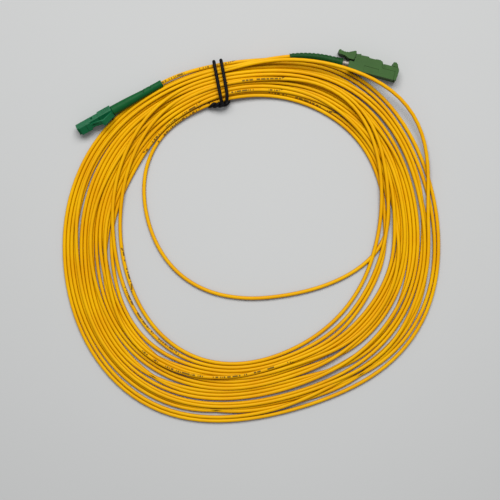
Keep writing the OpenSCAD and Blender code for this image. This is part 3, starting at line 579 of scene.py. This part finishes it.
def coil_lanes(t, cord_r, row, wander):
    """Radius, height and floor of the cord at t turns from the tie, before it settles. The lane number grows
    evenly on the way in and shrinks on the way out, the bundle widens away from the tie by a power of a
    squared sine, every second turn of a layer rises where lanes are closer than a diameter, some stretches
    follow their own route, and humps are added as smooth windows."""
    angle = TIE_ANGLE - 360 * t
    span = LOWER_TURNS + FIRST_LANE
    lane = np.where(t < LOWER_TURNS, FIRST_LANE + t,
                    LAST_LANE + (TURNS - t) * (span - LAST_LANE) / (TURNS - LOWER_TURNS))
    open_up = (np.sin(math.pi * t) ** 2 + 0.002) ** OPENING
    pitch = (TIED_WIDTH + (SPREAD_WIDTH - TIED_WIDTH) * open_up - 2 * cord_r) / span
    rise = np.sqrt(np.maximum(0, row**2 - pitch**2))
    calm = 1 - window(LONE_CALM, t)
    up = ramp(*CLIMB, t)
    lifted = np.max([window(h, t) for h in HUMPS], axis=0)
    odd = np.floor(t + 0.5) % 2
    raised = odd * (1 - up) + (1 - odd) * up
    free = np.clip(open_up, 0, 1) * calm
    after_first = ramp(0.9, 1.2, t)
    drift = wander * free * after_first * sum(
        share * np.sin(2 * math.pi * (waves * t + phase)) for waves, phase, share in WANDER_WAVES)
    inner, outer = edge_shifts(angle)
    inward = lane / span
    shift = inner * inward**2 + outer * (1 - inward)
    radius = COIL_RADIUS + bulge(angle) - cord_r - pitch * lane + drift + shift
    for route, margin in ROUTES:
        places, outs = np.array(route).T
        ends = (places[0] - margin, places[-1] + margin)
        inside = (t > ends[0]) & (t < ends[1])
        joined = np.interp(ends, t, radius)
        radius[inside] = np.interp(t[inside], [ends[0], *places, ends[1]], [joined[0], *outs, joined[1]])
        smooth(radius, ROUTE_SMOOTHING, where=inside[1:-1])
    off_tie = 360 * (t - np.round(t))
    floor = cord_r + TIE_LIFT * np.exp(-(off_tie / TIE_REACH) ** 2)
    height = floor + up * (row + rise) + (raised + (1 - raised) * lifted) * rise
    height = height + row * sum(h[4] * window(h, t) for h in HUMPS)
    return radius, height, floor


def over_plug(t, cord_r):
    """Lowest height of the loose outer turn where it lies on the shuttered plug."""
    plug_top = 2 * LARGE_PLUG_AT[2]
    return (plug_top + cord_r) * window(ON_PLUG, t)


def settled_coil(settings):
    """The coil's path after it settles, and the turns at its points. At every station the turns are discs in
    one upright section. Each step smooths their strays along the cord, lets them sink, pushes discs that
    overlap apart, and holds them over the floor."""
    cord_r = settings.diameter / MM / 2
    per_turn = settings.stations
    t = np.arange(TURNS * per_turn + 1) / per_turn
    home, height, floor = coil_lanes(t, cord_r, 2 * cord_r * ROW_HEIGHT, settings.wander / MM)
    floor = np.maximum(floor, over_plug(t, cord_r))
    radius = home.copy()
    height = np.maximum(height, floor)
    far = 1e4
    spare = np.full((TURNS + 1) * per_turn - len(t), far)

    def by_turn(values):
        """The path's values as a grid of turns by stations, filled up far away past the cord's end."""
        return np.concatenate([values, spare]).reshape(TURNS + 1, per_turn)

    apart = 2 * cord_r * TURN_DISTANCE
    same = np.eye(TURNS + 1, dtype=bool)[:, :, None]
    for _ in range(settings.settling):
        stray = radius - home
        smooth(stray)
        radius = home + stray * STRAY_KEPT
        smooth(height, share=0.3)
        height = height - SINK
        out, up = by_turn(radius), by_turn(height)
        across, over = out[:, None] - out[None], up[:, None] - up[None]
        gap = np.sqrt(across**2 + over**2) + 1e-6
        overlap = np.where(same | (gap > far / 10), 0, np.maximum(0, apart - gap))
        push = overlap * 0.5 / gap
        radius = radius + (push * across).sum(axis=1).ravel()[: len(t)] * PUSH_TAKEN
        height = height + (push * over).sum(axis=1).ravel()[: len(t)] * PUSH_TAKEN
        height = np.maximum(height, floor)
    for values in (radius, height):
        smooth(values, LAST_SMOOTHING)
    a = np.radians(TIE_ANGLE - 360 * t)
    x = COIL_CENTRE[0] + radius * np.cos(a)
    y = COIL_CENTRE[1] + radius * np.sin(a)
    return np.stack([x, y, height], axis=1), t


def boot_path(count):
    """Centre line of the bent boot from its start to its tip, an arc that turns away from the lever."""
    a = np.radians(np.linspace(0, LARGE_BOOT_BEND, count))
    reach = LARGE_BOOT_ARC / math.radians(LARGE_BOOT_BEND)
    x, z = LARGE_BOOT_START - reach * np.sin(a), -reach * (1 - np.cos(a))
    return in_large_plug(np.stack([x, 0 * a, z], axis=1))


def cord_path(settings):
    """The whole cord, out of the small plug's boot, round the coil and into the shuttered plug's boot; the
    turns at its points; and the coil alone."""
    coil, t = settled_coil(settings)
    in_boot = 10
    inside = in_small_plug(np.linspace([SMALL_JACKET_END, 0, 0], [SMALL_BOOT_END, 0, 0], in_boot))
    boot = boot_path(in_boot)
    leave = unit(inside[-1] - inside[-2])
    arrive = unit(boot[-2] - boot[-1])
    small = bridge(inside[-1], leave, coil[0], unit(coil[1] - coil[0]), count=18, pull=30)
    large = bridge(coil[-1], unit(coil[-1] - coil[-2]), boot[-1], arrive, count=22, pull=36)
    plug_end = in_large_plug(np.array([[LARGE_JACKET_END, 0, 0]]))
    path = np.concatenate([inside[:-1], small[:-1], coil, large[1:-1], boot[::-1], plug_end])
    start = len(inside) - 1 + len(small) - 1
    turns = np.concatenate([np.zeros(start), t, np.full(len(path) - start - len(t), t[-1])])
    return path, turns, coil


def cord_uv(path, turns, sides):
    """u is the length along the cord in centimetres; v goes once round, shifted by a twist of half a turn
    that brings the printed marks from the underside to the top at their places, by smooth windows."""
    length = np.concatenate([[0], np.cumsum(np.linalg.norm(np.diff(path, axis=0), axis=1))]) / 10
    shown = np.array([window((a - PRINT_EASE, a, b, b + PRINT_EASE), turns) for a, b, _ in PRINT_UP])
    lean = shown.T @ np.array([c for _, _, c in PRINT_UP])
    twist = 0.75 - 0.5 * shown.max(axis=0) - lean
    v = np.arange(sides + 1)[None] / sides + twist[:, None]
    return np.stack([np.broadcast_to(length[:, None], v.shape), v], axis=2)


# ---------------------------------------------------------------- tie
def tied_section(coil, per_turn):
    """Lowest and highest distance from the coil's centre and height of the turns at the tie."""
    tied = coil[::per_turn]
    out = np.linalg.norm(tied[:, :2] - COIL_CENTRE, axis=1)
    return out.min(), out.max(), tied[:, 2].min(), tied[:, 2].max()


def from_tie(points):
    """Points given along the cord, outwards from the coil's centre and up, at the tied place."""
    a = math.radians(TIE_ANGLE)
    x = COIL_CENTRE[0] + points[:, 1] * math.cos(a) + points[:, 0] * math.sin(a)
    y = COIL_CENTRE[1] + points[:, 1] * math.sin(a) - points[:, 0] * math.cos(a)
    return np.stack([x, y, points[:, 2]], axis=1)


def tie_path(settings, section, cord_r):
    """The wire's route: a strand of the twisted tail, two turns on rounded rectangles (a power of the cosine
    and sine), and the tail's other strand. The tail is two strands half a turn apart on one helix."""
    wire_r = settings.diameter / MM / 2
    inner, outer, low, high = section
    clear = cord_r + wire_r + TIE_GAP
    mid, half = (inner + outer) / 2, (outer - inner) / 2 + clear
    level, rise = (low + high) / 2, (high - low) / 2 + clear
    a = np.linspace(math.radians(TIE_START), math.radians(TIE_START - TIE_SWEEP), 150)
    out = mid + half * np.sign(np.cos(a)) * np.abs(np.cos(a)) ** TIE_ROUNDING
    up = level + rise * np.sign(np.sin(a)) * np.abs(np.sin(a)) ** TIE_ROUNDING
    q = np.linspace(0, 1, len(a))
    to_second_turn = ramp(0.36, 0.64, q)
    along = settings.spread / MM * (to_second_turn - 0.5)
    loops = np.stack([along, out, np.maximum(up, wire_r)], axis=1)

    s = np.linspace(0, 1, 26)
    start = np.array(TAIL_START) + [0, inner - clear, level]
    axis = start + s[:, None] * [-settings.tail / MM, *TAIL_LEAN]
    turn = 2 * math.pi * TAIL_TWISTS * s

    def strand(phase):
        """One strand of the tail, from the bundle outwards."""
        return axis + wire_r * np.stack([0 * s, np.cos(turn + phase), np.sin(turn + phase)], axis=1)

    start_phase = 0.3
    path = np.concatenate([strand(start_phase)[::-1], loops, strand(start_phase + math.pi)])
    smooth(path, times=6)
    return from_tie(path)


# ---------------------------------------------------------------- springs
def helix(x0, x1, radius, turns, per_turn=20):
    """A coil spring's wire along x: the turn angle grows evenly, and the place along x grows evenly too, but
    stands still for the closed part of a turn at each end."""
    q = np.linspace(0, 1, turns * per_turn + 1)
    closed = 0.75 / turns
    along = np.clip((q - closed) / (1 - 2 * closed), 0, 1)
    a = 2 * math.pi * turns * q
    return np.stack([x0 + (x1 - x0) * along, radius * np.cos(a), radius * np.sin(a)], axis=1)


def spring(name, place, x0, x1, outer, wire, turns, finish, node):
    """A coil spring that stands for a CAD sleeve, which it hides."""
    path = place(helix(x0 + wire / 2, x1 - wire / 2, (outer - wire) / 2, turns))
    piece = surface(name, carried_rings(path, wire / 2, sides=8), finish)
    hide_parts(node)
    way = unit(place(np.array([1.0, 0, 0])) - place(np.zeros(3)))
    tuple(place(np.array([x0, 0, 0])) * MM)
    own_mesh(piece)
    return piece


# ---------------------------------------------------------------- operators
class PATCHCORD_OT_camera(bpy.types.Operator):
    """Look straight down on the coil"""

    bl_idname = "patchcord.camera"
    bl_label = "Camera"

    def execute(self, context):
        settings = context.scene.patchcord_stage
        data = bpy.data.cameras.new("camera")
        half_view = VIEW_PIXELS / 2 * settings.pixel
        data.lens = data.sensor_width / 2 * settings.height / half_view
        data.clip_start, data.clip_end = 0.01, 20
        camera = bpy.data.objects.new("camera", data)
        x, y = VIEW_MIDDLE
        camera.location = (x * MM, y * MM, settings.height + VIEW_LEVEL * MM)
        context.scene.collection.objects.link(camera)
        context.scene.camera = camera
        return {"FINISHED"}


class PATCHCORD_OT_cord(bpy.types.Operator):
    """Wind the whole cord from plug to plug and let its turns settle"""

    bl_idname = "patchcord.cord"
    bl_label = "Cord"

    def execute(self, context):
        settings = context.scene.patchcord_cord
        path, turns, coil = cord_path(settings)
        sides = 14
        uv = cord_uv(path, turns, sides)
        rings = level_rings(path, settings.diameter / MM / 2, sides)
        piece = surface("cord", rings, jacket_finish(settings), uv=uv)
        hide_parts("cord_coil", "latch_plug_lead", "shutter_plug_lead")
        context.scene["tied_section"] = [float(v) for v in tied_section(coil, settings.stations)]
        return {"FINISHED"}


class PATCHCORD_OT_tie(bpy.types.Operator):
    """Bind the coil with two turns of covered wire and a twisted tail"""

    bl_idname = "patchcord.tie"
    bl_label = "Tie wire"

    def execute(self, context):
        settings = context.scene.patchcord_tie
        cord_r = context.scene.patchcord_cord.diameter / MM / 2
        path = tie_path(settings, context.scene["tied_section"], cord_r)
        rings = carried_rings(path, settings.diameter / MM / 2, sides=12)
        piece = surface("tie_wire_twisted", rings, wire_finish(settings))
        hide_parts("wire_tie")
        return {"FINISHED"}


class PATCHCORD_OT_small_plug(bpy.types.Operator):
    """Finish the small latching plug and fit its spring"""

    bl_idname = "patchcord.small_plug"
    bl_label = "Small latching plug"

    def execute(self, context):
        settings = context.scene.patchcord_small_plug
        green = moulded_finish("small plug moulding", settings.colour, specular=0.18)
        boot = boot_finish("smooth boot", settings.boot_colour)
        plated = metal_finish("plated metal", (0.78, 0.77, 0.74), roughness=0.25)
        steel = metal_finish("spring steel", (0.6, 0.6, 0.6), roughness=0.22)
        dress({
            "latch_plug_housing": green, "latch_plug_latch": green, "latch_plug_clip": green,
            "latch_plug_trigger": green, "latch_plug_boot": boot, "latch_plug_ferrule": ceramic_finish(),
            "latch_plug_ferrule_holder": plated, "latch_plug_backpost": plated,
            "latch_plug_crimp_sleeve": plated, "latch_plug_fibre": buffer_finish(),
        })
        spring(
            "latch_plug_spring_wire", in_small_plug, x0=-13.35, x1=-7.75, outer=2.7,
            wire=settings.spring_wire / MM, turns=8, finish=steel, node="latch_plug_spring")
        return {"FINISHED"}


class PATCHCORD_OT_large_plug(bpy.types.Operator):
    """Finish the shuttered plug and fit its springs"""

    bl_idname = "patchcord.large_plug"
    bl_label = "Shuttered plug"

    def execute(self, context):
        settings = context.scene.patchcord_large_plug
        green = moulded_finish(
            "large plug moulding", settings.colour, roughness=0.45, grain=0.35, specular=0.22)
        boot = boot_finish("ribbed boot", settings.boot_colour)
        plated = metal_finish("plated neck", (0.3, 0.28, 0.25), roughness=0.5)
        steel = metal_finish("steel", (0.62, 0.62, 0.62), roughness=0.25)
        dress({
            "shutter_plug_body": green, "shutter_plug_shutter": green, "shutter_plug_lever": green,
            "shutter_plug_lever_pin": green, "shutter_plug_shutter_pin": green,
            "shutter_plug_boot": boot, "shutter_plug_ferrule": ceramic_finish(),
            "shutter_plug_ferrule_holder": plated, "shutter_plug_backpost": plated,
            "shutter_plug_crimp_sleeve": plated, "shutter_plug_shutter_spring": steel,
            "shutter_plug_fibre": buffer_finish(),
        })
        spring(
            "shutter_plug_spring_wire", in_large_plug, x0=-21.95, x1=-11.5, outer=3.8,
            wire=settings.spring_wire / MM, turns=9, finish=steel, node="shutter_plug_spring")
        return {"FINISHED"}


class PATCHCORD_OT_stage(bpy.types.Operator):
    """Lay a pale floor and set soft light"""

    bl_idname = "patchcord.stage"
    bl_label = "Stage"

    def execute(self, context):
        settings = context.scene.patchcord_stage
        mesh = bpy.data.meshes.new("floor")
        s = FLOOR_SIDE / 2 * MM
        mesh.from_pydata([(-s, -s, 0), (s, -s, 0), (s, s, 0), (-s, s, 0)], [], [(0, 1, 2, 3)])
        mesh.materials.append(floor_finish(settings))
        floor = bpy.data.objects.new("floor", mesh)
        context.scene.collection.objects.link(floor)
        lamp = bpy.data.lights.new("key", "AREA")
        lamp.shape, lamp.size, lamp.size_y = "RECTANGLE", 1.0, 0.6
        lamp.energy = settings.key
        lamp.color = (1.0, 0.985, 0.96)
        key = bpy.data.objects.new("key", lamp)
        key.location = (0.03, 0.5, 0.95)
        key.rotation_euler = (math.radians(-35), 0, math.radians(3))
        context.scene.collection.objects.link(key)
        world = bpy.data.worlds.new("room")
        world.use_nodes = True
        sky = world.node_tree.nodes["Background"].inputs
        sky["Color"].default_value = (1, 1, 1, 1)
        sky["Strength"].default_value = settings.sky
        context.scene.world = world
        context.scene.view_settings.view_transform = "Standard"
        return {"FINISHED"}


class PATCHCORD_PT_panel(bpy.types.Panel):
    """Lists the settings and the pieces to make"""

    bl_label = "Patch Cord"
    bl_idname = "PATCHCORD_PT_panel"
    bl_space_type = "VIEW_3D"
    bl_region_type = "UI"
    bl_category = "Patch Cord"

    def draw(self, context):
        for name, group, operator in SECTIONS:
            box = self.layout.box()
            settings = getattr(context.scene, name)
            for key in group.__annotations__:
                box.prop(settings, key)
            box.operator(operator.bl_idname)
        self.layout.operator(PATCHCORD_OT_camera.bl_idname)


SECTIONS = (
    ("patchcord_cord", CordSettings, PATCHCORD_OT_cord),
    ("patchcord_tie", TieSettings, PATCHCORD_OT_tie),
    ("patchcord_small_plug", SmallPlugSettings, PATCHCORD_OT_small_plug),
    ("patchcord_large_plug", LargePlugSettings, PATCHCORD_OT_large_plug),
    ("patchcord_stage", StageSettings, PATCHCORD_OT_stage),
)
CLASSES = [c for _, group, operator in SECTIONS for c in (group, operator)]
CLASSES += [PATCHCORD_OT_camera, PATCHCORD_PT_panel]


def register():
    """Adds the classes, and a group of settings for each section to the scene."""
    for c in CLASSES:
        bpy.utils.register_class(c)
    for name, group, _ in SECTIONS:
        setattr(bpy.types.Scene, name, bpy.props.PointerProperty(type=group))


def unregister():
    """Takes the settings and classes away again."""
    for name, _, _ in SECTIONS:
        delattr(bpy.types.Scene, name)
    for c in reversed(CLASSES):
        bpy.utils.unregister_class(c)


def main():
    """Registers the classes and makes every piece in order."""
    register()
    bpy.ops.patchcord.camera()
    bpy.ops.patchcord.cord()
    bpy.ops.patchcord.tie()
    bpy.ops.patchcord.small_plug()
    bpy.ops.patchcord.large_plug()
    bpy.ops.patchcord.stage()


if __name__ == "__main__":
    main()
